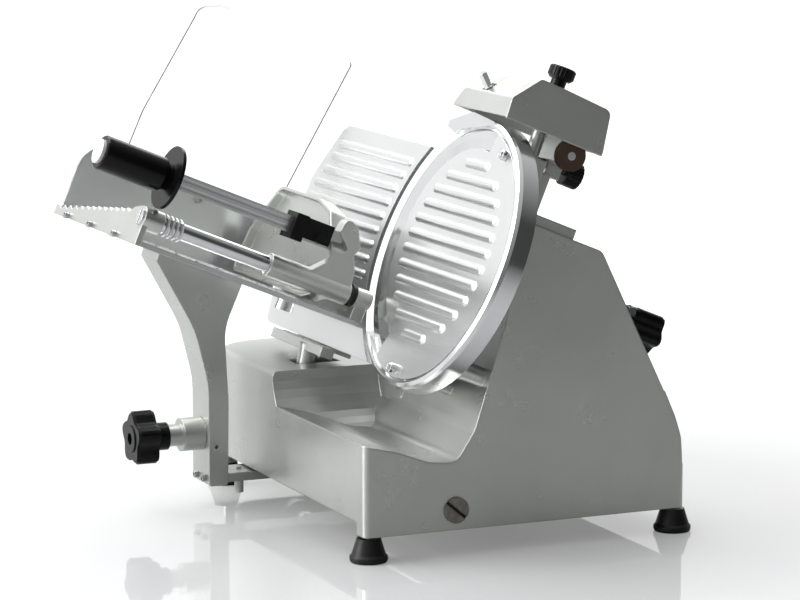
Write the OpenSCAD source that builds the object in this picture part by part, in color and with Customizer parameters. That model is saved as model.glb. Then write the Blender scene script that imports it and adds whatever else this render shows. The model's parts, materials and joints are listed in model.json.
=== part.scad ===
// Gravity-feed deli slicer with a 250 mm blade.
// The machine frame has X from the carriage side to the motor side, Y from the rear
// to the operator and Z up, with its zero at the rear left corner of the base.
// The blade frame is tilted about Y: its first axis is the blade's own axis.

/* [Blade] */
// Diameter of the round blade
blade_d = 250; // [240:1:256]
// Lean of the blade away from upright, in degrees
blade_tilt = 22.5; // [21:0.5:24]
// Distance of the blade centre from the left side of the base
blade_x = 112; // [110:1:114]
// Distance of the blade centre from the rear of the base
blade_y = 81; // [78:1:84]
// Height of the blade centre
blade_z = 274; // [272:1:277]

/* [Base] */
// Width of the base casting
base_w = 336; // [332:1:342]
// Length of the base casting
base_l = 405; // [400:1:420]
// Thickness of the cast walls
wall = 5; // [4:0.5:6]
// Height of the flat deck at the operator's end
deck_z = 143; // [140:1:145]
// Height of the rubber feet
foot_h = 22; // [20:1:24]
// Length of the tower that holds the drive
tower_l = 190; // [184:1:196]

/* [Carriage] */
// Length of the food tray along the blade's axis
tray_l = 245; // [235:1:252]
// Width of the food tray along the travel
tray_w = 242; // [236:1:248]
// Height of the wall of the tray
tray_wall_h = 69; // [60:1:74]
// Thickness of the clear shield
shield_t = 4; // [3:0.5:5]
// Diameter of the carriage slide rod
slide_rod_d = 22; // [20:1:24]

/* [Food pusher] */
// Diameter of the chromed pusher rod
pusher_rod_d = 16; // [14:0.5:16]
// Diameter of the black grip
grip_d = 33.5; // [30:0.5:36]
// Length of the black grip
grip_l = 71; // [66:1:90]
// Diameter of the round finger guard behind the grip
hand_disc_d = 62; // [56:1:62]
// Number of full curls of the buffer spring
spring_curls = 4; // [3:1:5]

/* [Gauge plate] */
// Height of the gauge plate's upper edge above the blade centre
gauge_top = 95; // [90:1:98]
// Number of ribs on the gauge plate
gauge_ribs = 9; // [5:1:9]

/* [Hidden] */

$fn = 64;

// Shared clearances, and the overrun of every cut
over = 1;
run_gap = 0.05;
seat_gap = 0.3;

// Base outline, seen from the rear, as places across the width and up
leg_z = foot_h + 2;
side_z = leg_z + 12;
trough_end_y = 226;
trough_end_r = 56;
trough_low_z = 86;
tower_foot = [112, 116.5];
tower_low = [144.5, 218];
tower_mid = [151, 271];
tower_peak_n = 36;
tower_top = 53.5;
back_foot = [base_w - 13.5, 115];
back_low = [base_w - 5.7, 92];
corner_r = 58;
corner_small_r = 26;
leg_l = 19;
boss_d = 24;
boss_h = 30;

// Blade group, along the blade's own axis
blade_r = blade_d / 2;
ring_in = blade_r + 3;
ring_out = blade_r + 10;
ring_depth = 22;
ring_wall = 4;
ring_open_low = -49;
ring_open_high = 62;
cover_margin = 23;
cover_r = blade_r - cover_margin;
cover_shift = [-4, 3];
rim_n = 2;
cover_ribs = 12;
blade_n = 10.5;
cover_n = blade_n - 7.4;
blade_t = 3;
hub_r = 30;
shaft_d = 24;
tie_d = 8;
knob_inset = 156.77;
knob_l = 56;
knob_n = (base_w - knob_inset) / cos(blade_tilt);
knob_end_n = knob_n + knob_l;
pulley_r = 40;
pulley_n = 92;

// Carriage places, along the blade's axis and up the blade
tray_out_n = -tray_l - 4;
tray_in_n = -4;
tray_y = 180;
tray_end_y = tray_y + tray_w - 7;
floor_u = -89;
floor_t = 5;
plate_t = 4;
rod_y = 180;
rod_u = -67.5;
sleeve_n = -118;
sleeve_end_n = -30;
bar_u = -24;
grip_n = tray_out_n + 4;
arm_y = 275;
arm_w = 45;
arm_x = -48;
arm_t = 20;
rod_x0 = 93;
rod_z0 = 43;
lug_z = leg_z + 1;
lug_t = 9;

// Gauge plate places
gauge_gap_r = ring_out + 3;
gauge_end_y = 428;
gauge_low_u = -122;
gauge_t = 4;
dial_inset = 74;
dial_x = base_w - dial_inset;
dial_z = 78;

// Sharpener places
hood_y = 34;
hood_t = 2.5;
hood_r = 99;
spindle_u = 114;
post_n = 44;
post_y = 58;
post_d = 14;
stone_n = 74;
stone_u = 128;
spindle_y = 74;

// Whole outline, used to put the zero under its middle
reach_n = grip_n - grip_l - 3;
tie_knob_d = 44;
x_min = blade_x + reach_n * cos(blade_tilt) + (bar_u - grip_d / 2) * sin(blade_tilt);
x_max = blade_x + knob_end_n * cos(blade_tilt) + tie_knob_d / 2 * sin(blade_tilt);
y_min = blade_y - ring_out;
y_max = base_l + 32;

function unit2(v) = v / norm(v);

// Points of one corner, given with a rounding radius as its third value
function corner(a, b, c, r) =
    r == 0 ? [b] :
    let(
        u = unit2(a - b),
        v = unit2(c - b),
        half = acos(u * v) / 2,
        mid = b + unit2(u + v) * r / sin(half),
        from = b + u * r / tan(half) - mid,
        to = b + v * r / tan(half) - mid,
        first = atan2(from.y, from.x),
        turn = (atan2(to.y, to.x) - first + 900) % 360 - 180,
        steps = ceil(abs(turn) / 9)
    )
    [for (i = [0:steps]) mid + r * [cos(first + turn * i / steps), sin(first + turn * i / steps)]];

function flat(p) = [p[0], p[1]];

// Closed outline from corners written as place, place, rounding radius
function rounded(c) = [
    for (i = [0:len(c) - 1])
        let(n = len(c))
        each corner(flat(c[(i + n - 1) % n]), flat(c[i]), flat(c[(i + 1) % n]),
                    is_undef(c[i][2]) ? 0 : c[i][2])
];

// The same corners moved inwards by a wall; they run anticlockwise
function inset(c, d) = [
    for (i = [0:len(c) - 1])
        let(
            n = len(c),
            u = unit2(flat(c[i]) - flat(c[(i + n - 1) % n])),
            v = unit2(flat(c[(i + 1) % n]) - flat(c[i])),
            m = [-u.y - v.y, u.x + v.x],
            k = d / (1 + u * v)
        )
        [c[i][0] + m.x * k, c[i][1] + m.y * k, is_undef(c[i][2]) ? 0 : max(0, c[i][2] - d)]
];

module in_frame() { translate([-(x_min + x_max) / 2, -(y_min + y_max) / 2, 0]) children(); }
module in_blade() { in_frame() translate([blade_x, 0, blade_z]) rotate([0, blade_tilt, 0]) children(); }
module on_axis() { in_blade() translate([0, blade_y, 0]) children(); }

// Round bars along each axis, from one place to another
module bar_x(d, x0, x1, y = 0, z = 0) {
    translate([x0, y, z]) rotate([0, 90, 0]) cylinder(d = d, h = x1 - x0);
}

module bar_y(d, y0, y1, x = 0, z = 0) {
    translate([x, y0, z]) rotate([-90, 0, 0]) cylinder(d = d, h = y1 - y0);
}

module bar_z(d, z0, z1, x = 0, y = 0) {
    translate([x, y, z0]) cylinder(d = d, h = z1 - z0);
}

// Outlines drawn out along each axis, a box between two corners, and a tube
module slab_x(x0, x1) { translate([x0, 0, 0]) rotate([90, 0, 90]) linear_extrude(x1 - x0) children(); }
module slab_y(y0, y1) { translate([0, y1, 0]) rotate([90, 0, 0]) linear_extrude(y1 - y0) children(); }
module slab_z(z0, z1) { translate([0, 0, z0]) linear_extrude(z1 - z0) children(); }
module box(lo, hi) { translate(lo) cube(hi - lo); }

module tube(d_out, d_in, h) {
    difference() {
        cylinder(d = d_out, h = h);
        translate([0, 0, -over]) cylinder(d = d_in, h = h + 2 * over);
    }
}

// Screw along +Z with its seat at zero: a round head with a socket, and a shank below
module socket_screw(d, l) {
    translate([0, 0, -l]) cylinder(d = d, h = l);
    difference() {
        cylinder(d = 1.7 * d, h = 0.9 * d);
        translate([0, 0, 0.4 * d]) cylinder(d = 0.9 * d, h = d, $fn = 6);
    }
}

// Hand knob along +Z: a hub and a lobed head with a softened edge
module lobed_knob(d, h, lobes) {
    outline = [
        for (a = [0:5:355]) d / 2 * (0.88 + 0.12 * cos(lobes * a)) * [cos(a), sin(a)]
    ];
    difference() {
        union() {
            cylinder(d = 0.5 * d, h = 0.5 * h);
            translate([0, 0, 0.36 * h]) linear_extrude(0.08 * h) polygon(0.94 * outline);
            translate([0, 0, 0.42 * h]) linear_extrude(0.5 * h) polygon(outline);
            translate([0, 0, 0.9 * h]) linear_extrude(0.07 * h) polygon(0.93 * outline);
            translate([0, 0, 0.9 * h]) cylinder(d = 0.5 * d, h = 0.1 * h);
        }
        translate([0, 0, -over]) cylinder(d = 8.1, h = 0.72 * h + over);
    }
}

// Base casting
side_corners = [
    [0, side_z], [base_w, side_z], [back_low.x, back_low.y, 20], [back_foot.x, back_foot.y, 12],
    [blade_x + 120 * cos(blade_tilt) + tower_top * sin(blade_tilt),
     blade_z - 120 * sin(blade_tilt) + tower_top * cos(blade_tilt), 10],
    [blade_x + tower_peak_n * cos(blade_tilt) + tower_top * sin(blade_tilt),
     blade_z - tower_peak_n * sin(blade_tilt) + tower_top * cos(blade_tilt), 12],
    [tower_mid.x, tower_mid.y, 20], [tower_low.x, tower_low.y, 60], [tower_foot.x, tower_foot.y, 30],
    [93, 88, 14], [66, 90.5, 20], [30, 103.5, 30], [0, 110.5]
];
low_corners = [
    [0, side_z], [base_w, side_z], [back_low.x, back_low.y, 20], [back_foot.x, back_foot.y, 12],
    [base_w - 26, deck_z, 10], [0, deck_z, 6]
];
foot_corners = [
    [0, 0, 6], [base_w, 0, 10], [base_w, base_l, corner_small_r], [0, base_l, corner_r]
];
foot_places = [
    [9, 11], [base_w - 9, 11], [13, base_l - 17], [base_w - 13, base_l - 14]
];

module base_shape(d) {
    intersection() {
        union() {
            slab_y(d, tower_l - d) polygon(rounded(inset(side_corners, d)));
            slab_y(d, trough_end_y) polygon(rounded(inset(trough_corners(), d)));
            difference() {
                slab_y(d, base_l - d) polygon(rounded(inset(low_corners, d)));
                slab_x(-over, blade_x + d) polygon(scoop_outline(d));
                box([0, 0, tower_foot.y - d], [blade_x + 10 + d, tower_l - 20 + d, deck_z + over]);
            }
        }
        slab_z(side_z - (d > 0 ? over : 0), 400) polygon(rounded(inset(foot_corners, d)));
    }
}

function trough_corners() = [
    [0, side_z], [150, side_z], [150, 116.5], [tower_foot.x, tower_foot.y, 30],
    [93, 88, 14], [66, 90.5, 20], [30, 103.5, 30], [0, 110.5]
];

// Outline of the scooped hollow in the deck, seen from the side
function scoop_outline(d) = concat(
    [[-over, deck_z + over], [-over, trough_low_z - d]],
    [for (a = [0:9:90]) [
        trough_end_y - trough_end_r + (trough_end_r + d) * sin(a),
        trough_low_z + trough_end_r - (trough_end_r + d) * cos(a)
    ]],
    [[trough_end_y + d, deck_z + over]]
);

module base_casting() {
    color("silver") in_frame() difference() {
        union() {
            difference() {
                union() {
                    base_shape(0);
                    base_legs();
                }
                difference() {
                    translate([0, 0, -over / 2]) base_shape(wall);
                    base_bosses();
                }
                slab_z(0, side_z + wall + over) polygon(rounded(inset(foot_corners, wall)));
            }
            base_bosses();
            drive_bosses();
            gauge_lugs();
        }
        for (p = foot_places) bar_z(5.2, 0, leg_z + 16, p.x, p.y);
        bar_y(slide_rod_d + 2 * run_gap, -over, base_l - wall, rod_x0, rod_z0);
        translate([blade_x, blade_y, blade_z]) rotate([0, blade_tilt, 0]) {
            bar_x(54, 10, 61);
            bar_x(tie_d + 0.1, 130, knob_n + over);
            translate([0, motor_y - blade_y, motor_u]) bar_x(24, motor_n + 50, motor_n + 70);
        }
        bar_y(16 + 2 * run_gap, base_l - 30, base_l + over, dial_x, dial_z);
        box([gauge_slot_x, gauge_post_y - 14, deck_z - 12],
            [gauge_slot_x + 46, gauge_post_y + 14, deck_z + over]);
    }
}

gauge_slot_x = 38;
gauge_post_y = 268;
gauge_rail_u = -190;

// Seats of the blade bearing, the motor, the tie rod and the ring guard
module drive_bosses() {
    translate([blade_x, blade_y, blade_z]) rotate([0, blade_tilt, 0]) {
        bar_x(30, 165, knob_n - seat_gap);
        for (a = ring_lug_angles) if (a > 90) rotate([a, 0, 0])
            bar_x(18, ring_depth + seat_gap, 62, 0, ring_lug_r);
    }
    intersection() {
        base_shape(0);
        translate([blade_x, blade_y, blade_z]) rotate([0, blade_tilt, 0]) {
            bar_x(90, 20, 60 - seat_gap);
            box([motor_n + 60 + seat_gap, 3 - blade_y, motor_u - 40],
                [motor_n + 66, tower_l - blade_y - 3, motor_u + 50]);
        }
    }
}

// Two lugs under the deck that hold the gauge rail
module gauge_lugs() {
    difference() {
        for (x = [10, 86]) box([x, gauge_post_y - 13, 66], [x + 10, gauge_post_y + 13, deck_z - 1]);
        translate([blade_x, 0, blade_z]) rotate([0, blade_tilt, 0])
            bar_x(14.1, -60, 80, gauge_post_y, gauge_rail_u);
    }
}

// Rear and front skirts and the four corner legs below the long sides
module base_legs() {
    slab_z(leg_z, side_z + 20) difference() {
        polygon(rounded(foot_corners));
        polygon(rounded(inset(foot_corners, wall)));
        for (x = [-over, base_w / 2])
            translate([x, leg_l]) square([base_w / 2 + over, base_l - 2 * leg_l - 17]);
    }
}

module base_bosses() {
    intersection() {
        union() {
            for (p = foot_places) bar_z(boss_d, leg_z, side_z + boss_h, p.x, p.y);
            for (y = [0, base_l - 22]) bar_y(slide_rod_d + 14, y, y + 22, rod_x0, rod_z0);
            bar_y(30, base_l - 24, base_l, dial_x, dial_z);
            box([126, 2, leg_z + 5], [131, base_l - 2, 86]);
            box([2, base_l - 40, 46], [42, base_l - 28, 62]);
        }
        slab_z(leg_z, 140) polygon(rounded(foot_corners));
        box([0, 0, leg_z], [base_w - 1, base_l, 100]);
    }
}

module bottom_cover() {
    color("dimgray") in_frame() difference() {
        box([131 + seat_gap, wall + seat_gap + 1, leg_z + 5],
            [base_w - wall - 1, base_l - wall - 1, leg_z + 7]);
        for (p = foot_places) bar_z(boss_d + 2 * seat_gap, 0, 60, p.x, p.y);
        translate([base_w - 40, base_l - 40, 0]) difference() {
            box([0, 0, 0], [60, 60, 60]);
            bar_z(60, -over, 61);
        }
        for (i = [0:5]) box([170, 120 + 12 * i, 0], [230, 124 + 12 * i, 60]);
    }
}

module feet() {
    color("black") in_frame() for (p = foot_places) translate([p.x, p.y, 0]) difference() {
        rotate_extrude() polygon([
            [0, 0], [17, 0], [18, 2], [18, 5], [16, 7.5], [11.5, foot_h], [0, foot_h]
        ]);
        translate([0, 0, -over]) cylinder(d = 14, h = 8 + over);
        cylinder(d = 5.2, h = foot_h + over);
    }
}

module foot_screws() {
    color("silver") in_frame() for (p = foot_places)
        translate([p.x, p.y, 8 - seat_gap]) rotate([180, 0, 0]) socket_screw(5, 26);
}

// Guide rod of the carriage, with a slotted end at the rear
module slide_rod() {
    color("silver") in_frame() difference() {
        union() {
            bar_y(slide_rod_d, -2, base_l - wall - 1, rod_x0, rod_z0);
            bar_y(slide_rod_d + 3, -2, -seat_gap, rod_x0, rod_z0);
        }
        translate([rod_x0, -2, rod_z0]) rotate([0, 40, 0]) cube([40, 3.2, 3], center = true);
    }
}

module guide_bar() {
    color("silver") in_frame() box([26, wall + seat_gap, 50], [36, base_l - 40 - seat_gap, 58]);
}

// Block that runs on the guide rod, with the lug that passes under the side
module slide_block() {
    color("gray") in_frame() difference() {
        union() {
            box([rod_x0 - 20, arm_y - 6, lug_z], [rod_x0 + 20, arm_y + arm_w + 6, rod_z0 + 18]);
            box([arm_x + arm_t + seat_gap, arm_y + 4, lug_z], [rod_x0, arm_y + arm_w - 4, lug_z + lug_t]);
        }
        bar_y(28, arm_y - 7, arm_y + arm_w + 7, rod_x0, rod_z0);
        bar_z(5.2, lug_z - over, lug_z + lug_t + over, -8, arm_y + arm_w / 2);
        for (y = [arm_y + 12, arm_y + arm_w - 12])
            bar_x(4.2, arm_x, 12, y, lug_z + lug_t / 2);
    }
}

module slide_bushes() {
    color("goldenrod") in_frame() for (y = [arm_y - 5, arm_y + arm_w - 11])
        translate([rod_x0, y, rod_z0]) rotate([-90, 0, 0]) tube(27.9, slide_rod_d + 2 * run_gap, 16);
}

// Nylon shoe that keeps the carriage from turning about its rod
module guide_shoe() {
    color("white") in_frame() difference() {
        box([20, arm_y + 8, lug_z + lug_t + 0.1], [42, arm_y + arm_w - 8, 62]);
        box([26 - 0.1, arm_y, 50 - 0.1], [36 + 0.1, arm_y + arm_w, 63]);
    }
}

module stop_pin() {
    color("ivory") in_frame() {
        bar_z(9, 10, lug_z - seat_gap, -8, arm_y + arm_w / 2);
        bar_z(5, 10, lug_z + lug_t + 2, -8, arm_y + arm_w / 2);
    }
}

function to_x(n, u) = blade_x + n * cos(blade_tilt) + u * sin(blade_tilt);
function to_z(n, u) = blade_z - n * sin(blade_tilt) + u * cos(blade_tilt);
under_u = floor_u - floor_t - seat_gap;
arm_corners = [
    [arm_x, leg_z - 1, 3], [arm_x + arm_t, leg_z - 1, 3], [arm_x + arm_t + 1, 110, 90],
    [arm_x + arm_t - 3, 180, 60], [to_x(-95, under_u - 12), to_z(-95, under_u - 12), 6],
    [to_x(-95, under_u), to_z(-95, under_u)], [to_x(-188, under_u), to_z(-188, under_u)],
    [to_x(-188, under_u - 8), to_z(-188, under_u - 8), 4],
    [arm_x - 14, 181, 90], [arm_x, 125, 90]
];

module carriage_arm() {
    color("silver") in_frame() difference() {
        slab_y(arm_y, arm_y + arm_w) polygon(rounded(arm_corners));
        slab_y(arm_y + 8, arm_y + arm_w - 8) polygon(rounded(inset(arm_pocket, 6)));
        bar_x(8.2, arm_x - 20, arm_x + arm_t + over, arm_y + arm_w / 2, 73);
        for (y = [arm_y + 12, arm_y + arm_w - 12]) bar_x(4.2, -80, 0, y, lug_z + lug_t / 2);
        bar_y(4.2, arm_y - over, arm_y + 7, arm_x + 8, 62);
        translate([blade_x, 0, blade_z]) rotate([0, blade_tilt, 0])
            for (n = tray_screw_ns) for (y = [arm_y + 10, arm_y + arm_w - 10])
                bar_z(5.2, under_u - 13, under_u + over, n, y);
    }
}

arm_pocket = [
    [arm_x - 1, 130], [arm_x + arm_t + 1, 130], [arm_x + arm_t - 3, 180],
    [to_x(-95, under_u - 12), to_z(-95, under_u - 12)], [to_x(-185, under_u - 8), to_z(-185, under_u - 8)],
    [arm_x - 14, 181]
];

module arm_collar() {
    color("silver") in_frame() translate([arm_x - seat_gap - 36, arm_y + arm_w / 2, 73]) rotate([0, 90, 0])
        difference() {
            union() {
                cylinder(d = 22, h = 14);
                translate([0, 0, 14]) cylinder(d = 33, h = 22);
            }
            translate([0, 0, -over]) cylinder(d = 8.1, h = 40);
        }
}

// Knob and its screw, which lock the carriage to the arm
module carriage_knob() {
    color("black") in_frame() translate([arm_x - 2 * seat_gap - 36, arm_y + arm_w / 2, 73])
        rotate([0, -90, 0]) {
        difference() {
            lobed_knob(55, 38, 5);
            translate([0, 0, -over]) cylinder(d = 12, h = 40);
        }
        cylinder(d = 12, h = 30);
        translate([0, 0, -52]) cylinder(d = 8, h = 60);
    }
}

// Tray that carries the food past the blade
wall_corners = [
    [tray_out_n, floor_u - floor_t], [tray_in_n, floor_u - floor_t],
    [tray_in_n, floor_u + tray_wall_h + 8, 6], [tray_out_n, floor_u + tray_wall_h + 8, 30]
];

module tray() {
    color("silver") in_blade() difference() {
        union() {
            box([tray_out_n, tray_y, floor_u - floor_t], [tray_in_n, tray_end_y, floor_u]);
            slab_y(tray_end_y - plate_t, tray_end_y) polygon(rounded(wall_corners));
            for (n = [tray_out_n + 22 : 22 : tray_in_n - 16])
                box([n, tray_y + 14, floor_u - over], [n + 3, tray_end_y - 14, floor_u + 1.6]);
            bar_z(18, floor_u - floor_t - 10, floor_u - floor_t, -71, 214);
        }
        for (n = tray_screw_ns) for (y = [arm_y + 10, arm_y + arm_w - 10])
{
            bar_z(5.2, floor_u - floor_t - over, floor_u + over, n, y);
            bar_z(9.4, floor_u - 3, floor_u + 4, n, y);
        }
        for (p = shield_places) bar_y(5.2, tray_end_y - plate_t - over, tray_end_y + over, p.x, p.y);
        for (y = rail_screw_ys) bar_x(4.2, tray_out_n - over, tray_out_n + 14, y, floor_u - 2.5);
    }
}

tray_screw_ns = [-170, -115];
rail_screw_ys = [230, 300, 370];
shield_places = [[-205, -30], [-115, -30], [-45, -30]];

// Toothed rail along the outer end of the tray, with the boss of the pusher rod
module tray_end_rail() {
    teeth = 12;
    top_near = rod_u + 4;
    top_far = floor_u + 5;
    pitch = (tray_end_y - 20 - 215) / teeth;
    color("silver") in_blade() difference() {
        union() {
            slab_x(tray_out_n - seat_gap - 6, tray_out_n - seat_gap) polygon(concat(
                [[tray_y - 9, floor_u - floor_t], [tray_end_y - 4, floor_u - floor_t],
                 [tray_end_y - 4, top_far]],
                [for (i = [teeth:-1:0]) each [
                    [215 + pitch * i + pitch * 0.5, top_far + (top_near - top_far) * (1 - i / teeth)],
                    [215 + pitch * i, top_far + (top_near - top_far) * (1 - i / teeth) - 3]
                ]],
                [[205, rod_u + 7], [tray_y + 8, rod_u + 10.5], [tray_y - 9, rod_u + 9]]
            ));
            bar_x(22, tray_out_n - seat_gap - 6, tray_out_n + 14, rod_y, rod_u);
        }
        bar_x(pusher_rod_d + 0.1, tray_out_n - 20, tray_out_n + 20, rod_y, rod_u);
        for (y = rail_screw_ys) bar_x(4.2, tray_out_n - 20, tray_out_n + over, y, floor_u - 2.5);
        box([tray_out_n - seat_gap, tray_y - 20, floor_u - floor_t - over],
            [tray_out_n + 20, tray_y + 20, floor_u + seat_gap]);
    }
}

// Screws of the arm, the tray, the end rail and the shield
module carriage_screws() {
    color("silver") in_frame() for (y = [arm_y + 12, arm_y + arm_w - 12])
        translate([arm_x - seat_gap, y, lug_z + lug_t / 2]) rotate([0, -90, 0]) socket_screw(4, 28);
    color("silver") in_blade() {
        for (n = tray_screw_ns) for (y = [arm_y + 10, arm_y + arm_w - 10])
            translate([n, y, floor_u - 3 + seat_gap]) socket_screw(5, 12);
        for (y = rail_screw_ys) translate([tray_out_n - 2 * seat_gap - 6, y, floor_u - 2.5])
            rotate([0, -90, 0]) socket_screw(4, 16);
        for (p = shield_places) {
            translate([p.x, tray_end_y - plate_t - seat_gap, p.y]) rotate([90, 0, 0]) socket_screw(5, 16);
            bar_y(12, tray_end_y + seat_gap, tray_end_y + 4, p.x, p.y);
        }
    }
}

shield_corners = [
    [-195, -96, 12], [-143, -101, 12], [-136, -60, 40], [-30, -60, 12], [-24, 16, 30],
    [-4, 158, 4], [-160, 162, 10], [-183, 152, 14], [-184, 140, 30], [-201, 34, 30], [-202, -4, 20]
];

module clear_shield() {
    color([0.85, 0.9, 0.95, 0.4]) in_blade() difference() {
        slab_y(tray_end_y + 4 + seat_gap, tray_end_y + 4 + seat_gap + shield_t)
            polygon(rounded(shield_corners));
        for (p = shield_places) bar_y(5.4, tray_end_y, tray_end_y + 20, p.x, p.y);
    }
}

// Fixed chromed rod on which the pusher slides and swings
module pusher_rod() {
    color("silver") in_blade() difference() {
        bar_x(pusher_rod_d, tray_out_n - seat_gap - 8, -7, rod_y, rod_u);
        box([tray_out_n - 20, rod_y - 1.2, rod_u - 20], [tray_out_n - seat_gap - 6, rod_y + 1.2, rod_u + 20]);
    }
}

// Wound buffer spring as one tube swept along a helix with straight ends
spring_wire = 2.2;
spring_r = pusher_rod_d / 2 / cos(180 / 8) + 0.3 + spring_wire / 2;
spring_pitch = 5;
spring_steps = 8;
spring_sides = 6;
spring_n0 = tray_out_n + 14 + seat_gap + spring_wire;
spring_last = spring_curls * spring_steps;
echo(least_spring_gap = spring_pitch * cos(atan(spring_pitch / (2 * PI * spring_r))) - spring_wire);

// Each ring of the tube is turned about the rod with the curl it belongs to
module buffer_spring() {
    ring = [for (k = [0:spring_sides - 1]) [cos(360 / spring_sides * k), sin(360 / spring_sides * k)]];
    lead = atan(spring_pitch / (2 * PI * spring_r));
    function wire_ring(i, n, lean) = let(a = 360 / spring_steps * i) [
        for (p = ring) let(
            out = p.x * spring_wire / 2,
            side = p.y * spring_wire / 2 * cos(lean),
            along = -p.y * spring_wire / 2 * sin(lean),
            r = spring_r + out
        ) [n + side, rod_y + r * cos(a) - along * sin(a), rod_u + r * sin(a) + along * cos(a)]
    ];
    rings = [for (i = [0:spring_last]) wire_ring(i, spring_n0 + spring_pitch * i / spring_steps, lead)];
    count = len(rings);
    color("silver") in_blade() polyhedron(
        points = [for (r = rings) each r],
        faces = concat(
            [[for (k = [spring_sides - 1:-1:0]) k]],
            [for (i = [0:count - 2]) for (k = [0:spring_sides - 1]) let(n = (k + 1) % spring_sides)
                each [
                    [i * spring_sides + k, i * spring_sides + n, (i + 1) * spring_sides + n],
                    [i * spring_sides + k, (i + 1) * spring_sides + n, (i + 1) * spring_sides + k]
                ]],
            [[for (k = [0:spring_sides - 1]) (count - 1) * spring_sides + k]]
        )
    );
}

module rod_inner_support() {
    color("silver") in_blade() difference() {
        union() {
            bar_x(20, -22, -5, rod_y + 0, rod_u);
            box([-20, rod_y - 7, floor_u + seat_gap], [-7, rod_y + 7, rod_u]);
            box([-20, rod_y, floor_u + seat_gap], [-7, rod_y + 26, floor_u + 6]);
        }
        bar_x(pusher_rod_d + 0.1, -23, -6.5, rod_y, rod_u);
    }
}

module bumper_ring() {
    color("black") in_blade() difference() {
        bar_x(22, -27, -22 - seat_gap, rod_y, rod_u);
        bar_x(pusher_rod_d + 0.2, -28, -20, rod_y, rod_u);
    }
}

module pusher_bushes() {
    color("ivory") in_blade() for (n = [sleeve_n + over, sleeve_end_n - 17])
        translate([n, rod_y, rod_u]) rotate([0, 90, 0]) tube(pusher_rod_d + 3, pusher_rod_d + 0.1, 16);
}

// Near web of the pusher: a column that leans from the sleeve up to the plate's rim
web_corners = [
    [-82, rod_u + 6], [-31, rod_u + 6], [-33, -46, 4], [-40, -31, 4], [-36, -22, 3],
    [-46, -4, 6], [-60, 2, 6], [-62, -14], [-48, -27, 2], [-58, -40, 6], [-76, rod_u + 10, 3]
];

// Outline of the pusher, seen along the rod
push_corners = [
    [rod_y - 9, rod_u, 8], [rod_y - 3, rod_u - 11, 6], [rod_y + 20, floor_u + 4, 4],
    [rod_y + 205, floor_u + 4, 8], [rod_y + 200, -40, 20], [rod_y + 160, 12, 24],
    [rod_y + 60, 11, 20], [rod_y + 24, 3, 16], [rod_y - 9, -32, 10]
];

module pusher_plate() {
    plate_n = -56;
    color("silver") in_blade() difference() {
        union() {
            slab_x(plate_n, plate_n + 5) polygon(rounded(push_corners));
            slab_x(plate_n - 9, plate_n + 8) difference() {
                polygon(rounded(push_corners));
                polygon(rounded(inset(push_corners, 3.5)));
            }
            bar_x(pusher_rod_d + 7, sleeve_n, sleeve_end_n, rod_y, rod_u);
            slab_y(rod_y - 9, rod_y + 5) polygon(rounded(web_corners));
            box([-96, rod_y - 2, bar_u - 10], [plate_n + 2, rod_y + 8, bar_u + 10]);
            for (i = [0:4])
                box([plate_n + 4, rod_y + 60 + 28 * i, floor_u + 12], [plate_n + 8, rod_y + 63 + 28 * i, -6]);
            for (i = [0:3]) for (k = [0:1]) translate([plate_n + 4, rod_y + 75 + 28 * i, -70 + 34 * k])
                rotate([0, 90, 0]) cylinder(d1 = 6, d2 = 0.8, h = 12);
        }
        bar_x(pusher_rod_d + 3.1, sleeve_n - over, sleeve_end_n + over, rod_y, rod_u);
        box([-99, rod_y - 20, bar_u - 10], [-96, rod_y + 20, bar_u + 20]);
        box([-99, rod_y - 20, bar_u - 9 - seat_gap], [-70, rod_y - 2, bar_u + 20]);
        bar_y(5.2, rod_y - 20, rod_y + 9, -84, bar_u - 4);
    }
}

// Black block that clamps the grip bar to the pusher
module bar_clamp() {
    color("black") in_blade() difference() {
        union() {
            box([-95.5, rod_y - 14, bar_u - 8], [-71, rod_y - 2.3, bar_u + 12]);
            box([-112, rod_y - 14, bar_u - 13], [-99.3, rod_y + 12, bar_u + 13]);
            box([-100, rod_y - 14, bar_u - 8], [-95, rod_y - 2.3, bar_u + 12]);
            bar_y(9, rod_y - 17, rod_y - 13, -84, bar_u - 4);
            bar_y(5, rod_y - 17, rod_y + 6, -84, bar_u - 4);
        }
        box([-114, rod_y - 6.2, bar_u - 8.2], [-103, rod_y + 6.2, bar_u + 8.2]);
    }
}

// Grooved bar between the clamp and the grip
module handle_bar() {
    color("silver") in_blade() difference() {
        union() {
            box([grip_n + seat_gap + 5, rod_y - 6, bar_u - 8], [-103.3, rod_y + 6, bar_u + 8]);
            bar_x(10, grip_n - grip_l + 6, grip_n + 8, rod_y, bar_u);
        }
        for (k = [-1, 1])
            box([-300, rod_y - 10, bar_u - 1.4 + 3.4 * k], [-102, rod_y - 4.8, bar_u + 1.4 + 3.4 * k]);
        box([grip_n - over, rod_y + 4.6, bar_u - 4], [-102, rod_y + 10, bar_u + 4]);
    }
}

module handle_grip() {
    color("black") in_blade() difference() {
        translate([grip_n - grip_l, rod_y, bar_u]) rotate([0, 90, 0]) rotate_extrude() polygon([
            [0, 0], [grip_d / 2 - 1, 0], [grip_d / 2, 1.5], [grip_d / 2, grip_l - 8],
            [grip_d / 2 - 4, grip_l - 3], [grip_d / 2 - 4, grip_l - 0.2], [0, grip_l - 0.2]
        ]);
        bar_x(10.1, grip_n - grip_l - over, grip_n + over, rod_y, bar_u);
        bar_x(24, grip_n - grip_l - over, grip_n - grip_l + 3, rod_y, bar_u);
    }
}

module grip_cap() {
    color("white") in_blade() bar_x(23.6, grip_n - grip_l - 3, grip_n - grip_l + 2.7, rod_y, bar_u);
}

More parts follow.
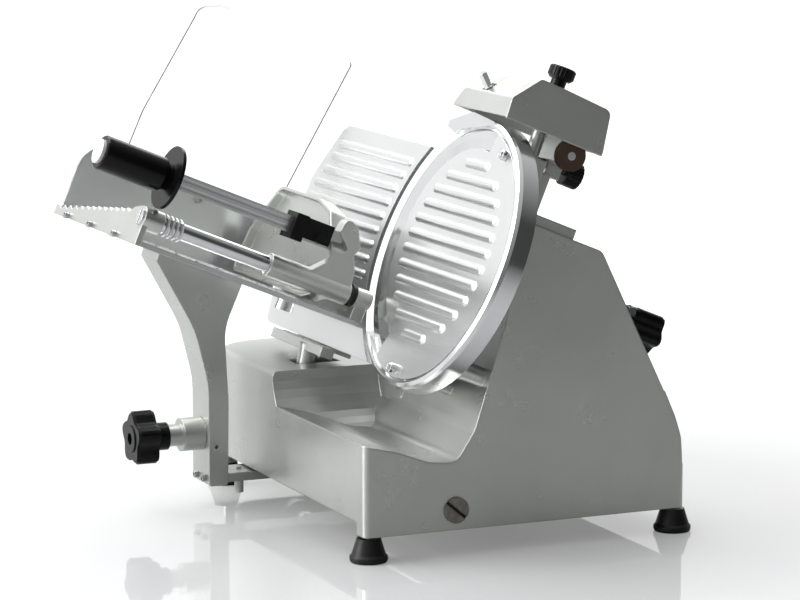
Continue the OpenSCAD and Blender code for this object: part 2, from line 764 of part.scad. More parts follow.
module hand_disc() {
    color("black") in_blade() difference() {
        union() {
            bar_x(hand_disc_d, grip_n + 0.1, grip_n + 2.4, rod_y, bar_u);
            difference() {
                bar_x(hand_disc_d, grip_n + 2, grip_n + 3.6, rod_y, bar_u);
                bar_x(hand_disc_d - 5, grip_n + over, grip_n + 5, rod_y, bar_u);
            }
            bar_x(hand_disc_d * 0.42, grip_n + 2, grip_n + 5, rod_y, bar_u);
        }
        bar_x(10.1, grip_n - over, grip_n + 10, rod_y, bar_u);
    }
}

// Blade group
module blade() {
    color("silver") on_axis() translate([blade_n, 0, 0]) rotate([0, 90, 0]) difference() {
        rotate_extrude($fn = 128) polygon([
            [0, 0], [blade_r - 26, 0], [blade_r - 21, -3.2], [blade_r - 9, -5.6],
            [blade_r, -5.4], [blade_r - 10, -2.6], [blade_r - 16, -0.5], [blade_r - 22, 2.4],
            [blade_r - 27, blade_t], [0, blade_t]
        ]);
        translate([0, 0, -over]) cylinder(d = 30.2, h = 20);
        for (i = [0:3]) rotate(90 * i + 45) translate([22, 0, -over]) cylinder(d = 5.2, h = 20);
    }
}

module blade_screws() {
    color("silver") on_axis() translate([blade_n - 0.1, 0, 0]) rotate([0, -90, 0])
        for (i = [0:3]) rotate(90 * i + 45) translate([22, 0, 0]) {
            translate([0, 0, -10]) cylinder(d = 5, h = 10);
            difference() {
                cylinder(d = 8.4, h = 2.4);
                translate([0, 0, 1.2]) cylinder(d = 4, h = 4, $fn = 6);
            }
        }
}

// Hollow shaft with the flange that carries the blade
module blade_shaft() {
    color("gray") on_axis() difference() {
        union() {
            bar_x(2 * hub_r, blade_n + blade_t + 0.1, 23);
            bar_x(shaft_d, 20, 118);
            bar_x(30, blade_n + 0.2, blade_n + blade_t + 1);
        }
        bar_x(12, 0, 130);
        for (i = [0:3]) rotate([90 * i + 45, 0, 0]) bar_x(5.2, 0, 21, 0, 22);
    }
}

module shaft_bearings() {
    color("silver") on_axis() for (n = [30, 62]) translate([n, 0, 0]) rotate([0, 90, 0]) {
        tube(30, shaft_d + 0.04, 12);
        tube(44, 37, 12);
        translate([0, 0, 1]) difference() {
            cylinder(d = 38, h = 10);
            translate([0, 0, -over]) cylinder(d = 29, h = 12);
        }
    }
}

module bearing_housing() {
    color("gray") on_axis() difference() {
        union() {
            bar_x(53.4, 26, 78);
            bar_x(80, 60, 70);
            for (a = [0:120:240]) rotate([a, 0, 0]) box([61, -10, 30], [69, 10, 46]);
        }
        bar_x(44.06, 28, 80);
        bar_x(40, 20, 90);
    }
}

module blade_pulley() {
    bore_r = shaft_d / 2 + 0.03;
    rim_r = pulley_r + 3;
    color("gray") on_axis() translate([pulley_n, 0, 0]) rotate([0, 90, 0]) difference() {
        rotate_extrude() polygon([
            [bore_r, 0], [rim_r, 0], [rim_r, 3], [pulley_r, 4], [pulley_r, 16], [rim_r, 17],
            [rim_r, 20], [bore_r, 20]
        ]);
        for (i = [0:4]) rotate(72 * i) translate([26, 0, -over]) cylinder(d = 15, h = 30);
    }
}

motor_y = 118;
motor_u = -104;
motor_pulley_d = 30;
motor_n = 118;

module motor_shaft() {
    color("gray") on_axis() translate([0, motor_y - blade_y, motor_u]) {
        bar_x(11.94, pulley_n, motor_n + 12);
        bar_x(motor_pulley_d, pulley_n + 2, pulley_n + 18);
        for (n = [pulley_n, pulley_n + 18]) bar_x(motor_pulley_d + 5, n, n + 2);
    }
}

// Flat belt round both pulleys
module drive_belt() {
    belt_t = 2;
    belt_gap = 0.3;
    y = motor_y - blade_y;
    reach = norm([y, motor_u]);
    r1 = pulley_r + belt_gap;
    r2 = motor_pulley_d / 2 + belt_gap;
    lean = asin((r1 - r2) / reach);
    function arc(r, y, first, turn) = [
        for (k = [0:24]) [0, y] + r * [cos(first + turn * k / 24), sin(first + turn * k / 24)]
    ];
    function loop(t) = concat(
        arc(r1 + t, 0, -lean, 180 + 2 * lean), arc(r2 + t, -reach, 180 + lean, 180 - 2 * lean)
    );
    color("black") on_axis() rotate([atan2(y, -motor_u), 0, 0])
        slab_x(pulley_n + 5, pulley_n + 15) difference() {
            polygon(loop(belt_t));
            polygon(loop(0));
        }
}

module motor() {
    color("gray") on_axis() translate([0, motor_y - blade_y, motor_u]) difference() {
        union() {
            bar_x(90, motor_n, motor_n + 60);
            bar_x(22, motor_n + 50, motor_n + 64);
            for (i = [0:17]) rotate([20 * i, 0, 0]) box([motor_n + 8, -1.2, 44], [motor_n + 52, 1.2, 48]);
        }
        bar_x(12, motor_n - over, motor_n + 14);
    }
}

// Polished ring round the blade, open on the side where the slice leaves
module ring_guard() {
    color("silver") on_axis() difference() {
        union() {
            difference() {
                rotate([0, 90, 0]) rotate_extrude($fn = 128) polygon([
                    [ring_in, 0], [ring_out - 5, 0], [ring_out - 1.5, 1.5], [ring_out, 5],
                    [ring_out, ring_depth], [ring_out - ring_wall, ring_depth],
                    [ring_out - ring_wall, 8], [ring_in, 5]
                ]);
                slab_x(-over, ring_depth + over) polygon([
                    [0, 0], 300 * [cos(ring_open_low), sin(ring_open_low)], [300, 0],
                    300 * [cos(ring_open_high), sin(ring_open_high)]
                ]);
            }
            slab_x(0, 8) polygon(rounded([
                [-20, ring_in + 2.2], [54, ring_in - 10.5], [62, ring_in - 14, 3],
                [92, ring_in - 7, 4], [36, ring_out + 2.5, 6], [-10, ring_out - 2, 4]
            ]));
            for (a = ring_lug_angles) rotate([a, 0, 0]) {
                box([ring_depth - 6, -12, ring_in - 20], [ring_depth, 12, ring_out - 2]);
            }
        }
        for (a = ring_lug_angles)
            rotate([a, 0, 0]) bar_x(5.2, ring_depth - 5, ring_depth + over, 0, ring_lug_r);
        translate([blade_n - 8, 0, 0]) rotate([0, 90, 0]) cylinder(r = blade_r + 1.2, h = 9);
    }
}

ring_lug_angles = [20, 147, 178, 213];
ring_lug_r = ring_in - 13;

// Ribbed cover over the blade. It reaches the ring where that is closed, and
// leaves the blade bare on the open side
module blade_cover() {
    pitch = 2 * cover_r / (cover_ribs + 1);
    rib_w = 0.62 * pitch;
    color("silver") on_axis() difference() {
        union() {
            translate([0, cover_shift.x, cover_shift.y]) {
                slab_x(cover_n, cover_n + 2.8) circle(r = cover_r - 2, $fn = 128);
                slab_x(rim_n, rim_n + 2.2) circle(r = cover_r, $fn = 128);
            }
            slab_x(rim_n, rim_n + 2.2) intersection() {
                circle(r = blade_r + 0.4, $fn = 128);
                polygon(concat([[0, 0]], [for (a = [102, 150, 200, 250, 296]) 400 * [cos(a), sin(a)]]));
            }
            for (i = [1:cover_ribs]) let(
                u = -cover_r + pitch * i,
                half = sqrt(pow(cover_r - 12, 2) - u * u) - rib_w / 2
            ) if (half > rib_w) translate([rim_n, cover_shift.x - 4, u + cover_shift.y])
                rotate([0, -90, 0]) rib(half, rib_w, 2.6);
            bar_x(26, cover_n + 2, blade_n - 0.8);
        }
        bar_x(tie_d + 0.1, cover_n + 2.2, blade_n);
        for (p = stud_places) bar_x(5.1, rim_n - 1, rim_n + 5, p.x, p.y);
    }
}

// Raised rib with round ends, lying along Y: the top slice of a round-ended bar
module rib(half, w, h) {
    r = (w * w / 4 + h * h) / (2 * h);
    intersection() {
        translate([0, 0, h - r]) rotate([-90, 0, 0]) rotate_extrude() polygon(concat(
            [for (a = [0:22.5:90]) [r * sin(a), -half - r * cos(a)]],
            [for (a = [90:22.5:180]) [r * sin(a), half - r * cos(a)]]
        ));
        translate([-w, -half - r - w, -0.5]) cube([2 * w, 2 * (half + r + w), h + 1]);
    }
}

stud_places = [[8, -118], [-58, 104]];

module cover_studs() {
    color("silver") on_axis() for (p = stud_places) translate([rim_n - seat_gap, p.x, p.y])
        rotate([0, -90, 0]) difference() {
            union() {
                cylinder(d = 10, h = 5);
                cylinder(d = 7.5, h = 7);
                translate([0, 0, -1.8]) cylinder(d = 5, h = 4);
            }
            translate([-6, -0.8, 5.8]) cube([12, 1.6, 3]);
        }
}

// Long screw through the hollow shaft, which pulls the cover on
module tie_rod() {
    color("silver") on_axis() {
        bar_x(tie_d, cover_n + 2.5, knob_n + 0.7 * (knob_end_n - knob_n));
        bar_x(11, 124, 128);
    }
}

module tie_rod_knob() {
    color("black") on_axis() translate([knob_n, 0, 0]) rotate([0, 90, 0])
        lobed_knob(tie_knob_d, knob_end_n - knob_n, 5);
}

// Gauge plate, which sets how thick a slice is
gauge_plate_corners = [
    [blade_y + 20, gauge_low_u], [gauge_end_y - 20, gauge_low_u, 14], [gauge_end_y, -60, 40],
    [gauge_end_y, 34, 36], [gauge_end_y - 38, gauge_top, 22], [blade_y + 20, gauge_top]
];
rib_places = [75, 61, 46, 31, 16, 1, -14, -29, -44];

module gauge_plate() {
    color("silver") in_blade() difference() {
        union() {
            slab_x(1, 1 + gauge_t) polygon(rounded(gauge_plate_corners));
            for (i = [0:gauge_ribs - 1]) let(
                u = rib_places[i],
                near = blade_y + sqrt(pow(gauge_gap_r + 10, 2) - u * u),
                far = gauge_end_y - 12 - max(0, u - 30) * 0.62
            ) translate([1, (near + far) / 2, u]) rotate([0, -90, 0]) rib((far - near) / 2 - 4, 9.5, 2.6);
            for (y = gauge_bolt_ys) bar_x(14, 4, 12, y, gauge_low_u + 14);
        }
        translate([-10, blade_y, 0]) rotate([0, 90, 0]) cylinder(r = gauge_gap_r, h = 40, $fn = 128);
        for (y = gauge_bolt_ys) bar_x(5.1, 6, 13, y, gauge_low_u + 14);
    }
}

gauge_bolt_ys = [238, 310];

// Bracket under the gauge plate, with its post down to the gauge rail
module gauge_bracket() {
    u = gauge_low_u;
    foot_n = 6;
    color("gray") in_blade() difference() {
        union() {
            box([12 + seat_gap, 222, u + 2], [20, 350, u + 24]);
            box([-14, 222, u - 12], [0, 350, u + 2 - 4]);
            box([-4, 226, u - 4.5], [20, 346, u - 1]);
            box([12 + seat_gap, 226, u - 4.5], [20, 346, u + 4]);
            strut([-8, gauge_post_y, u - 4], [foot_n, gauge_post_y, gauge_rail_u], 20);
            bar_x(26, foot_n - 12, foot_n + 12, gauge_post_y, gauge_rail_u);
        }
        for (y = gauge_bolt_ys) bar_x(5.2, 10, 22, y, u + 14);
        bar_x(14.1, foot_n - 30, foot_n + 30, gauge_post_y, gauge_rail_u);
    }
}

// Round bar between two points that share one Y
module strut(from, to, d) {
    way = to - from;
    translate(from) rotate([0, atan2(way.x, way.z), 0]) cylinder(d = d, h = norm(way));
}

module gauge_bolts() {
    color("silver") in_blade() for (y = gauge_bolt_ys) {
        translate([20 + seat_gap, y, gauge_low_u + 14]) rotate([0, 90, 0]) cylinder(d = 9, h = 4, $fn = 6);
        bar_x(5, 7, 21, y, gauge_low_u + 14);
    }
}

// Fixed bar on which the gauge bracket slides
module gauge_rail() {
    color("silver") in_blade() bar_x(14, -34, 64, gauge_post_y, gauge_rail_u);
}

// Screwed shaft of the thickness dial
module index_shaft() {
    color("silver") in_frame() {
        bar_y(16, base_l - 27, base_l + 10, dial_x, dial_z);
        bar_y(8, base_l - 60, base_l + 26, dial_x, dial_z);
        bar_y(34, base_l - 60, base_l - 54, dial_x, dial_z);
    }
}

module index_knob() {
    color("black") in_frame() difference() {
        union() {
            bar_y(46, base_l + 1, base_l + 8, dial_x, dial_z);
            bar_y(36, base_l + 7, base_l + 30, dial_x, dial_z);
            for (i = [0:11])
                translate([dial_x, 0, dial_z]) rotate([0, 30 * i, 0]) bar_y(6, base_l + 7, base_l + 29, 17, 0);
        }
        bar_y(16.2, base_l, base_l + 10.2, dial_x, dial_z);
        bar_y(8.1, base_l, base_l + 27, dial_x, dial_z);
        for (i = [0:19]) translate([dial_x, 0, dial_z]) rotate([0, 18 * i, 0])
            box([20.5, base_l + 7.4, -0.5], [24, base_l + 9, 0.5]);
    }
}

// Switch plate on the operator's end, with its two buttons
switch_x = 170;
module switch_box() {
    color("black") in_frame() difference() {
        union() {
            slab_y(base_l + seat_gap, base_l + 4) translate([switch_x, dial_z])
                polygon(rounded([[-34, -20, 6], [34, -20, 6], [34, 20, 6], [-34, 20, 6]]));
            for (x = [-16, 16]) bar_y(26, base_l + 3, base_l + 7, switch_x + x, dial_z);
        }
        for (x = [-16, 16]) bar_y(20.2, base_l + 1.5, base_l + 8, switch_x + x, dial_z);
    }
}

module button(x) {
    in_frame() difference() {
        bar_y(20, base_l + 4.8, base_l + 11, switch_x + x, dial_z);
        bar_y(14, base_l + 10.2, base_l + 12, switch_x + x, dial_z);
    }
}
module start_button() { color("green") button(-16); }
module stop_button() { color("red") button(16); }

// Sharpener
module sharpener_post() {
    color("silver") in_blade() difference() {
        union() {
            box([38, 10, tower_top + seat_gap], [92, 84, tower_top + 10]);
            box([40, 40, tower_top + 5], [62, 70, 104]);
            box([ring_depth + seat_gap, 34, 94], [50, 52, 114]);
            bar_z(post_d - 0.1, 100, 177, post_n, post_y);
        }
        for (y = [18, 76]) bar_z(5.2, tower_top - over, tower_top + 13, 78, y);
        bar_z(6, 150, 178, post_n, post_y);
    }
}

hood_corners = [
    [-6, 140], [-7, 158, 3], [15, 184, 6], [42, 183.5, 4], [95, 181, 8], [102, 142]
];

module hood_limit() {
    slab_x(-40, 140) intersection() {
        union() {
            translate([71.5, 84.6]) circle(r = hood_r, $fn = 128);
            square([71.5, 260]);
        }
        translate([0, 100]) square([300, 200]);
    }
}

module sharpener_hood() {
    color("silver") in_blade() difference() {
        intersection() {
            slab_y(hood_y, 170) polygon(rounded(concat([[-6, 138]], hood_corners, [[102, 138]])));
            hood_limit();
        }
        intersection() {
            slab_y(hood_y + hood_t, 180) polygon(rounded(inset(hood_loop, hood_t)));
            translate([0, -hood_t, -hood_t]) hood_limit();
        }
        slab_y(hood_y + hood_t, 180) polygon([[-20, 100], [120, 100], [120, 139], [-20, 139]]);
        bar_z(8.2, 170, 190, post_n, post_y);
        translate([-7, hood_y + 66, 158]) rotate([0, blade_tilt + 18, 0]) box([-8, -7, 2], [8, 7, 14]);
    }
}

hood_loop = [[102, 120], [95, 181, 8], [42, 183.5, 4], [15, 184, 6], [-7, 158, 3], [-6, 120]];

// Hexagonal stud that stands out of the sloping side of the hood
module hood_stud() {
    color("silver") in_blade() translate([-2, hood_y + 66, 163]) rotate([0, -49, 0]) {
        cylinder(d = 9, h = 16, $fn = 6);
        translate([0, 0, -8]) cylinder(d = 6, h = 10);
    }
}

// Block inside the hood that carries both stone spindles
module sharpener_carrier() {
    color("gray") in_blade() difference() {
        union() {
            box([post_n - 14, 49, 142], [84, 84, 178]);
            box([64, 49, 118], [84, 84, 150]);
            box([66, 62, 103], [82, 84, 124]);
        }
        bar_z(post_d, 130, 180, post_n, post_y);
        bar_x(8.1, 10, 100, spindle_y, spindle_u);
        bar_y(8.1, 40, 120, stone_n, stone_u);
    }
}

module sharpener_knob() {
    color("black") in_blade() translate([post_n, post_y, 184.4]) {
        cylinder(d = 15, h = 9);
        translate([0, 0, -24]) cylinder(d = 5.8, h = 25);
        difference() {
            translate([0, 0, 7]) rotate_extrude()
                polygon([[0, 0], [10, 0], [13, 3], [13, 11], [11.5, 12.5], [0, 12.5]]);
            for (i = [0:19]) rotate(18 * i) translate([13.6, 0, 6]) cylinder(d = 2.4, h = 16, $fn = 12);
        }
    }
}

module grinding_spindle() {
    color("silver") in_blade() {
        bar_y(8, 37, 100, stone_n, stone_u);
        bar_y(16, 88, 100, stone_n, stone_u);
    }
}

module grinding_stone() {
    color("saddlebrown") in_blade() translate([stone_n, 37.5, stone_u])
        rotate([-90, 0, 0]) tube(30, 8.1, 7.5);
}

module deburring_spindle() {
    color("silver") in_blade() {
        bar_x(8, 27, 104, spindle_y, spindle_u);
        difference() {
            bar_x(26, 90, 106, spindle_y, spindle_u);
            for (i = [0:17]) translate([0, spindle_y, spindle_u]) rotate([20 * i, 0, 0])
                bar_x(2.2, 94, 108, 0, 13.6);
        }
    }
}

module deburring_stone() {
    color("saddlebrown") in_blade() translate([27, spindle_y, spindle_u]) rotate([0, 90, 0]) tube(22, 8.1, 8);
}

base_casting();
bottom_cover();
feet();
foot_screws();
slide_rod();
guide_bar();
slide_block();
slide_bushes();
guide_shoe();
stop_pin();
carriage_arm();
arm_collar();
carriage_knob();
tray();
tray_end_rail();
carriage_screws();
clear_shield();
pusher_rod();
buffer_spring();
rod_inner_support();
bumper_ring();
pusher_bushes();
pusher_plate();
bar_clamp();
handle_bar();
handle_grip();
grip_cap();
hand_disc();
blade();
blade_screws();
blade_shaft();
shaft_bearings();
bearing_housing();
blade_pulley();
drive_belt();
motor();
motor_shaft();
ring_guard();
blade_cover();
cover_studs();
tie_rod();
tie_rod_knob();
gauge_plate();
gauge_bracket();
gauge_bolts();
gauge_rail();
index_shaft();
index_knob();
switch_box();
start_button();
stop_button();
sharpener_post();
sharpener_hood();
sharpener_carrier();
hood_stud();
sharpener_knob();
grinding_spindle();
grinding_stone();
deburring_spindle();
deburring_stone();
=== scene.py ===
"""Looks of the gravity-feed slicer: materials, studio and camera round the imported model."""

import json
import math

import bpy
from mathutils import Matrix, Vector

WHITE = (1, 1, 1, 1)

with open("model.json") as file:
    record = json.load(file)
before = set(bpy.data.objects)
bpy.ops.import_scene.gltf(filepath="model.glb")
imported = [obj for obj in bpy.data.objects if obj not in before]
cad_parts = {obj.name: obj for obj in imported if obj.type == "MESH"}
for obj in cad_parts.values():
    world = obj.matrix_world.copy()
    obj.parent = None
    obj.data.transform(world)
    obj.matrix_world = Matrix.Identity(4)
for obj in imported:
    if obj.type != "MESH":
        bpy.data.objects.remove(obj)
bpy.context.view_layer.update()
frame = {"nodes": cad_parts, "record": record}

# Camera, at the photograph's height and direction. AIM is seen to the right of and below the
# picture's middle, by these shares of the distance.
TURN = math.radians(-23.9)
RISE = math.radians(9.2)
DISTANCE = 3.359
SENSOR_MM = 36
FOCAL_PIXELS = 3500
PHOTO_WIDTH_PIXELS = 800
AIM = Vector((0.0835, -0.0915, 0.150))
AIM_RIGHT = 76.1 / FOCAL_PIXELS
AIM_DOWN = 74.0 / FOCAL_PIXELS
FARTHEST = 50


def make_camera():
    back = Vector((
        math.sin(TURN) * math.cos(RISE),
        -math.cos(TURN) * math.cos(RISE),
        math.sin(RISE),
    ))
    right = Vector((math.cos(TURN), math.sin(TURN), 0))
    up = back.cross(right)
    data = bpy.data.cameras.new("camera")
    data.sensor_width = SENSOR_MM
    data.lens = SENSOR_MM * FOCAL_PIXELS / PHOTO_WIDTH_PIXELS
    data.clip_end = FARTHEST
    camera = bpy.data.objects.new("camera", data)
    camera.location = AIM + DISTANCE * (back - AIM_RIGHT * right + AIM_DOWN * up)
    camera.rotation_mode = "QUATERNION"
    camera.rotation_quaternion = (-back).to_track_quat("-Z", "Y")
    bpy.context.scene.collection.objects.link(camera)
    bpy.context.scene.camera = camera


make_camera()
bpy.context.scene.view_settings.view_transform = "Standard"


# Node helpers
BEVEL_SAMPLES = 6


class Nodes:
    """A node tree, with short calls that add and join nodes."""

    def __init__(self, tree):
        self.tree = tree

    def add(self, kind, **settings):
        node = self.tree.nodes.new("ShaderNode" + kind)
        for key, value in settings.items():
            setattr(node, key, value)
        return node

    def join(self, out, into):
        self.tree.links.new(out, into)

    def ramp(self, source, low, high, start=0.3, end=0.7):
        """A value spread between two others."""
        node = self.add("MapRange")
        node.inputs["From Min"].default_value = start
        node.inputs["From Max"].default_value = end
        node.inputs["To Min"].default_value = low
        node.inputs["To Max"].default_value = high
        self.join(source, node.inputs["Value"])
        return node.outputs["Result"]

    def seen(self):
        """One for rays from the camera and through the clear shield, and zero for others."""
        path = self.add("LightPath")
        either = self.add("Math", operation="MAXIMUM")
        self.join(path.outputs["Is Camera Ray"], either.inputs[0])
        self.join(path.outputs["Is Transmission Ray"], either.inputs[1])
        return either.outputs[0]


class Surface(Nodes):
    """A material, with short calls that set its look."""

    def __init__(self, name):
        self.material = bpy.data.materials.new(name)
        self.material.use_nodes = True
        super().__init__(self.material.node_tree)
        self.shader = self.tree.nodes["Principled BSDF"]

    def place(self, scale):
        """Object coordinates stretched by a scale along each axis."""
        where = self.add("TexCoord")
        mapping = self.add("Mapping")
        mapping.inputs["Scale"].default_value = scale
        self.join(where.outputs["Object"], mapping.inputs["Vector"])
        return mapping.outputs["Vector"]

    def noise(self, scale, detail=4, stretch=(1, 1, 1)):
        node = self.add("TexNoise")
        node.inputs["Scale"].default_value = scale
        node.inputs["Detail"].default_value = detail
        self.join(self.place(stretch), node.inputs["Vector"])
        return node.outputs["Fac"]

    def tint(self, source, low, high, start=0.3, end=0.7):
        """A colour spread between two others."""
        node = self.add("Mix", data_type="RGBA")
        node.inputs[6].default_value = (*low, 1)
        node.inputs[7].default_value = (*high, 1)
        self.join(self.ramp(source, 0, 1, start, end), node.inputs[0])
        return node.outputs[2]

    def relief(self, heights, soften=0.0):
        """Bumps from pairs of a height and its depth in metres, over softened edges."""
        normal = None
        if soften:
            bevel = self.add("Bevel", samples=BEVEL_SAMPLES)
            bevel.inputs["Radius"].default_value = soften
            normal = bevel.outputs["Normal"]
        for height, depth in heights:
            bump = self.add("Bump")
            bump.inputs["Strength"].default_value = 1.0
            bump.inputs["Distance"].default_value = depth
            self.join(height, bump.inputs["Height"])
            if normal:
                self.join(normal, bump.inputs["Normal"])
            normal = bump.outputs["Normal"]
        self.join(normal, self.shader.inputs["Normal"])

    def set(self, socket, value):
        self.shader.inputs[socket].default_value = value

    def colour(self, source):
        self.join(source, self.shader.inputs["Base Color"])

    def roughness(self, source):
        self.join(source, self.shader.inputs["Roughness"])


def cast_aluminium():
    m = Surface("cast_aluminium")
    m.set("Metallic", 0.85)
    m.colour(m.tint(m.noise(8, 4), (0.53, 0.55, 0.52), (0.61, 0.625, 0.60)))
    m.roughness(m.ramp(m.noise(30, 2), 0.27, 0.33))
    m.relief([(m.noise(1500, 3), 0.00005), (m.noise(60, 2), 0.0001)], soften=0.0018)
    return m.material


def sheet_aluminium():
    m = Surface("sheet_aluminium")
    m.set("Metallic", 0.9)
    m.colour(m.tint(m.noise(3, 2), (0.74, 0.75, 0.75), (0.77, 0.78, 0.78)))
    m.roughness(m.ramp(m.noise(700, 2, (1, 0.02, 1)), 0.25, 0.27))
    m.relief([], soften=0.0008)
    return m.material


def turned_metal(name, low, high, rough, soften):
    """Metal with fine tool marks and faint smears."""
    m = Surface(name)
    m.set("Metallic", 1.0)
    m.colour(m.tint(m.noise(14, 4), low, high))
    m.roughness(m.ramp(m.noise(35, 6), rough, rough * 1.9))
    m.relief([(m.noise(900, 2), 0.0000008)], soften=soften)
    return m.material


def plastic(name, low, high, rough, grain=0.00003, soften=0.0008, shine=0.5):
    """Moulded plastic with a fine grain and faint wear."""
    m = Surface(name)
    m.set("Specular IOR Level", shine)
    m.colour(m.tint(m.noise(30, 5), low, high))
    m.roughness(m.ramp(m.noise(80, 4), rough, rough + 0.12))
    m.relief([(m.noise(2200, 2), grain)], soften=soften)
    return m.material


def stone():
    m = Surface("stone")
    m.colour(m.tint(m.noise(1500, 2), (0.03, 0.018, 0.012), (0.12, 0.07, 0.045), 0.35, 0.65))
    m.set("Roughness", 0.85)
    m.relief([(m.noise(1800, 2), 0.0003)])
    return m.material


# Painted shade: the clear shield's edge faces get a dark opaque colour in place of the darkness that
# light passing through clear sheet gives its edges.
def painted_shade_clear_edge():
    m = Surface("painted_shade_clear_edge")
    m.set("Specular IOR Level", 0.1)
    m.colour(m.tint(m.noise(90, 3), (0.04, 0.045, 0.045), (0.12, 0.13, 0.13)))
    m.roughness(m.ramp(m.noise(200, 3), 0.1, 0.2))
    return m.material


def cap_metal():
    m = Surface("cap_metal")
    m.set("Metallic", 0.9)
    m.colour(m.tint(m.noise(160, 4), (0.20, 0.19, 0.16), (0.30, 0.29, 0.25)))
    m.roughness(m.ramp(m.noise(300, 4), 0.3, 0.45))
    m.relief([(m.noise(1200, 2), 0.00002)], soften=0.0005)
    return m.material


def clear_sheet():
    m = Surface("clear_sheet")
    m.colour(m.tint(m.noise(12, 2), (0.97, 0.98, 0.985), (1, 1, 1)))
    m.roughness(m.ramp(m.noise(50, 3), 0.0, 0.015))
    m.set("Transmission Weight", 1.0)
    m.set("IOR", 1.12)
    return m.material


MATERIALS = {
    "cast_aluminium": cast_aluminium(),
    "plate_aluminium": sheet_aluminium(),
    "polished": turned_metal("polished", (0.74, 0.75, 0.76), (0.8, 0.81, 0.82), 0.09, 0.0006),
    "steel": turned_metal("steel", (0.5, 0.5, 0.51), (0.6, 0.6, 0.61), 0.2, 0.0004),
    "bronze": turned_metal("bronze", (0.45, 0.28, 0.1), (0.55, 0.36, 0.15), 0.25, 0.0004),
    "black_plastic": plastic(
        "black_plastic", (0.003, 0.003, 0.0035), (0.005, 0.005, 0.0055), 0.15, 0.000005, shine=0.2,
    ),
    "black_rubber": plastic("black_rubber", (0.006, 0.006, 0.006), (0.01, 0.01, 0.01), 0.34, shine=0.3),
    "white_plastic": plastic("white_plastic", (0.72, 0.72, 0.70), (0.78, 0.78, 0.76), 0.3),
    "painted_steel": plastic("painted_steel", (0.05, 0.05, 0.055), (0.08, 0.08, 0.085), 0.4),
    "green_plastic": plastic("green_plastic", (0.02, 0.3, 0.06), (0.03, 0.36, 0.08), 0.25),
    "red_plastic": plastic("red_plastic", (0.5, 0.02, 0.015), (0.58, 0.03, 0.02), 0.25),
    "clear": clear_sheet(),
    "stone": stone(),
}


def dress(node, material):
    mesh = frame["nodes"][node].data
    mesh.materials.clear()
    mesh.materials.append(material)


for part in frame["record"]["subparts"]:
    dress(part["node"], MATERIALS[part["material_slot"]])


def dress_faces(node, material, wanted):
    """Give one more material to the faces whose centre and normal are wanted."""
    item = frame["nodes"][node]
    turn = item.matrix_world.to_3x3()
    item.data.materials.append(material)
    for face in item.data.polygons:
        if wanted(item.matrix_world @ face.center, turn @ face.normal):
            face.material_index = len(item.data.materials) - 1


def main_normal(node):
    """The direction that most of a flat node's surface faces."""
    item = frame["nodes"][node]
    widest = max(item.data.polygons, key=lambda face: face.area)
    return item.matrix_world.to_3x3() @ widest.normal


# The blade's own direction, and where the knurled knob starts along it
BLADE_TILT = math.radians(22.5)
BLADE_NORMAL = Vector((math.cos(BLADE_TILT), 0, -math.sin(BLADE_TILT)))
BLADE_MIDDLE = Vector((0.0355, 0, 0.274))
KNURLED_FROM = 0.089

# The slide rod's cap stands out of the rear face. Deeper in than its end face, what looks to
# the rear is the floor of its slot.
CAP_UNTIL = -0.1912
SLOT_FROM = -0.1934
REAR_NORMAL_Y = -0.9

# A face of the shield is an edge when its normal's cosine with the sheet's is below this
EDGE_COSINE = 0.7

sheet_normal = main_normal("clear_shield")
# Painted shade: the shield's edge faces take the dark edge colour.
dress_faces("clear_shield", painted_shade_clear_edge(), lambda c, n: abs(n.dot(sheet_normal)) < EDGE_COSINE)
dress_faces(
    "deburring_spindle", MATERIALS["black_plastic"],
    lambda c, n: (c - BLADE_MIDDLE).dot(BLADE_NORMAL) > KNURLED_FROM,
)
dress_faces("slide_rod", cap_metal(), lambda c, n: c.y < CAP_UNTIL)
# Painted shade: the floor of the cap's shallow slot is given the black rubber material so that the
# recess looks dark.
dress_faces(
    "slide_rod", MATERIALS["black_rubber"],
    lambda c, n: SLOT_FROM < c.y < CAP_UNTIL and n.y < REAR_NORMAL_Y,
)


# Studio: a pale glossy floor, a white surround and soft lamps
SURROUND_LEFT = 0.8
SURROUND_ABOVE = 0.6
SURROUND_REACH = 0.9
SURROUND_DARK = 0.06
SURROUND_BRIGHT = 0.98


def make_surround():
    """White to the eye, and for the metal brighter to the left, behind and above."""
    world = bpy.data.worlds.new("surround")
    bpy.context.scene.world = world
    world.use_nodes = True
    m = Nodes(world.node_tree)
    light = m.tree.nodes["Background"]
    light.inputs["Color"].default_value = WHITE
    where = m.add("TexCoord")
    split = m.add("SeparateXYZ")
    m.join(where.outputs["Generated"], split.inputs[0])
    across = m.add("Math", operation="MULTIPLY_ADD")
    across.inputs[1].default_value = -SURROUND_LEFT
    m.join(split.outputs["X"], across.inputs[0])
    m.join(split.outputs["Y"], across.inputs[2])
    above = m.add("Math", operation="MULTIPLY_ADD")
    above.inputs[1].default_value = SURROUND_ABOVE
    m.join(split.outputs["Z"], above.inputs[0])
    m.join(across.outputs[0], above.inputs[2])
    fade = m.ramp(above.outputs[0], SURROUND_DARK, SURROUND_BRIGHT, -SURROUND_REACH, SURROUND_REACH)
    m.join(fade, light.inputs["Strength"])
    white = m.add("Background")
    white.inputs["Color"].default_value = WHITE
    mix = m.add("MixShader")
    m.join(m.seen(), mix.inputs["Fac"])
    m.join(light.outputs[0], mix.inputs[1])
    m.join(white.outputs[0], mix.inputs[2])
    m.join(mix.outputs[0], m.tree.nodes["World Output"].inputs["Surface"])


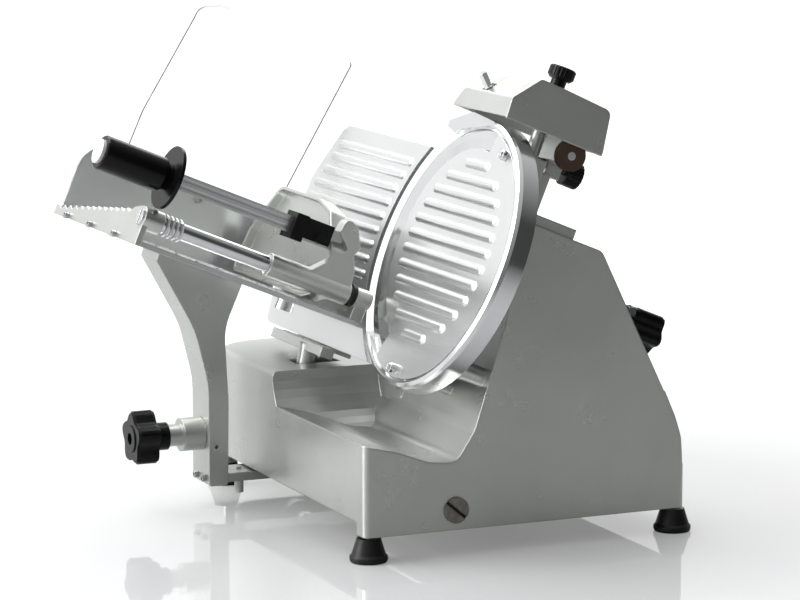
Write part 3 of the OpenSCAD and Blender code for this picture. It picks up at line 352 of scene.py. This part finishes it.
# Distances in metres from the machine's middle, and the glow that the eye sees there
FLOOR_HALF = 6.0
FLOOR_DROP = 0.0004
NEAR = 0.45
FAR = 1.5
GLOW_NEAR = 0.22
GLOW_FAR = 0.75


def make_floor():
    """A floor that mirrors the machine near it and fades to white further off."""
    corners = [(-1, -1), (1, -1), (1, 1), (-1, 1)]
    mesh = bpy.data.meshes.new("floor")
    places = [(FLOOR_HALF * x, FLOOR_HALF * y, -FLOOR_DROP) for x, y in corners]
    mesh.from_pydata(places, [], [(0, 1, 2, 3)])
    floor = bpy.data.objects.new("floor", mesh)
    bpy.context.scene.collection.objects.link(floor)
    m = Surface("floor")
    m.colour(m.tint(m.noise(3, 2), (0.42, 0.43, 0.44), (0.45, 0.45, 0.45)))
    m.roughness(m.ramp(m.noise(20, 2), 0.02, 0.04))
    m.set("IOR", 1.5)
    m.set("Emission Color", WHITE)
    away = m.add("VectorMath", operation="LENGTH")
    m.join(m.place((1, 1, 1)), away.inputs[0])
    glow = m.add("Math", operation="MULTIPLY")
    m.join(m.seen(), glow.inputs[0])
    m.join(m.ramp(away.outputs["Value"], GLOW_NEAR, GLOW_FAR, NEAR, FAR), glow.inputs[1])
    m.join(glow.outputs[0], m.shader.inputs["Emission Strength"])
    mesh.materials.append(m.material)


# Each lamp's place and width in metres and its power in watts, all aimed at the machine's middle
MIDDLE = Vector((0, 0, 0.25))
LAMPS = {
    "left_lamp": (Vector((-2.4, 0.5, 1.2)), 1.8, 54),
    "top_lamp": (Vector((-0.5, 1.0, 2.3)), 2.2, 62),
    "back_lamp": (Vector((1.6, 1.8, 1.4)), 1.4, 12),
}


def make_lamp(name, place, width, power):
    data = bpy.data.lights.new(name, "AREA")
    data.shape = "SQUARE"
    data.size = width
    data.energy = power
    lamp = bpy.data.objects.new(name, data)
    lamp.location = place
    lamp.rotation_mode = "QUATERNION"
    lamp.rotation_quaternion = (MIDDLE - place).to_track_quat("-Z", "Y")
    bpy.context.scene.collection.objects.link(lamp)


make_surround()
make_floor()
for lamp_name, (lamp_place, lamp_width, lamp_power) in LAMPS.items():
    make_lamp(lamp_name, lamp_place, lamp_width, lamp_power)
